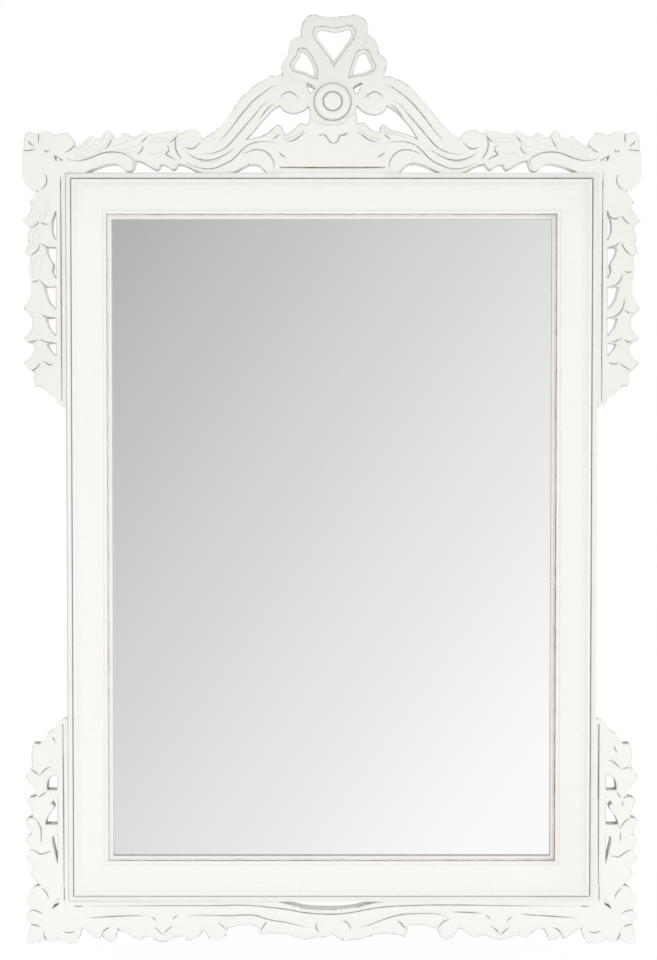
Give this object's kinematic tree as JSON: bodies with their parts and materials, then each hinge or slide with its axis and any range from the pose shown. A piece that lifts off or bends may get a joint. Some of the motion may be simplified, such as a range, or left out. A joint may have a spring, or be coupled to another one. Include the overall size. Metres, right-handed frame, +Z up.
{
  "type": "pediment mirror",
  "caption": "Wall mirror in a mitred painted wood frame with a pierced ribbon-bow pediment, carved side drops and apron, hung by swinging D-rings.",
  "frame": {"origin": "on the flat back face of the top rail, in the middle of its length and height, where the frame lies against the wall", "axes": "+Z up, +X to the viewer's right when looking at the glass, +Y towards the wall; the glass faces -Y"},
  "size_m": [0.79, 0.0322, 1.1918],
  "materials": {
    "painted_frame": "antique white satin paint, rubbed, dark glaze in the grooves",
    "painted_carving": "antique white satin paint with dark glaze in the carved lines",
    "bare_wood": "unfinished beech",
    "looking_glass": "silvered float glass",
    "hardboard": "smooth brown hardboard",
    "card_shim": "grey-brown card",
    "zinc_steel": "zinc plated",
    "rubber_block": "matte"
  },
  "bodies": {
    "frame": {"top_rail": "painted_frame", "bottom_rail": "painted_frame", "left_stile": "painted_frame", "right_stile": "painted_frame", "mitre_tongues": "bare_wood", "carving_dowels": "bare_wood", "crest": "painted_carving", "crest_boss": "painted_carving", "left_wing": "painted_carving", "right_wing": "painted_carving", "upper_left_rosette": "painted_carving", "upper_right_rosette": "painted_carving", "upper_left_drop": "painted_carving", "upper_right_drop": "painted_carving", "lower_left_drop": "painted_carving", "lower_right_drop": "painted_carving", "lower_left_rosette": "painted_carving", "lower_right_rosette": "painted_carving", "apron": "painted_carving", "mirror_pane": "looking_glass", "setting_blocks": "rubber_block", "side_shims": "card_shim", "backing_board": "hardboard", "board_screws": "zinc_steel", "left_hanger_strap": "zinc_steel", "right_hanger_strap": "zinc_steel", "strap_screws": "zinc_steel", "wall_bumpers": "rubber_block"},
    "left_ring": {"left_hanger_ring": "zinc_steel"},
    "right_ring": {"right_hanger_ring": "zinc_steel"}
  },
  "joints": [
    {"name": "left_ring_swing", "type": "hinge", "parent": "frame", "child": "left_ring", "pos_m": [-0.321, 0.00308, -0.201], "axis": [1, 0, 0], "range_deg": [0, 180]},
    {"name": "right_ring_swing", "type": "hinge", "parent": "frame", "child": "right_ring", "pos_m": [0.321, 0.00308, -0.201], "axis": [1, 0, 0], "range_deg": [0, 180]}
  ]
}
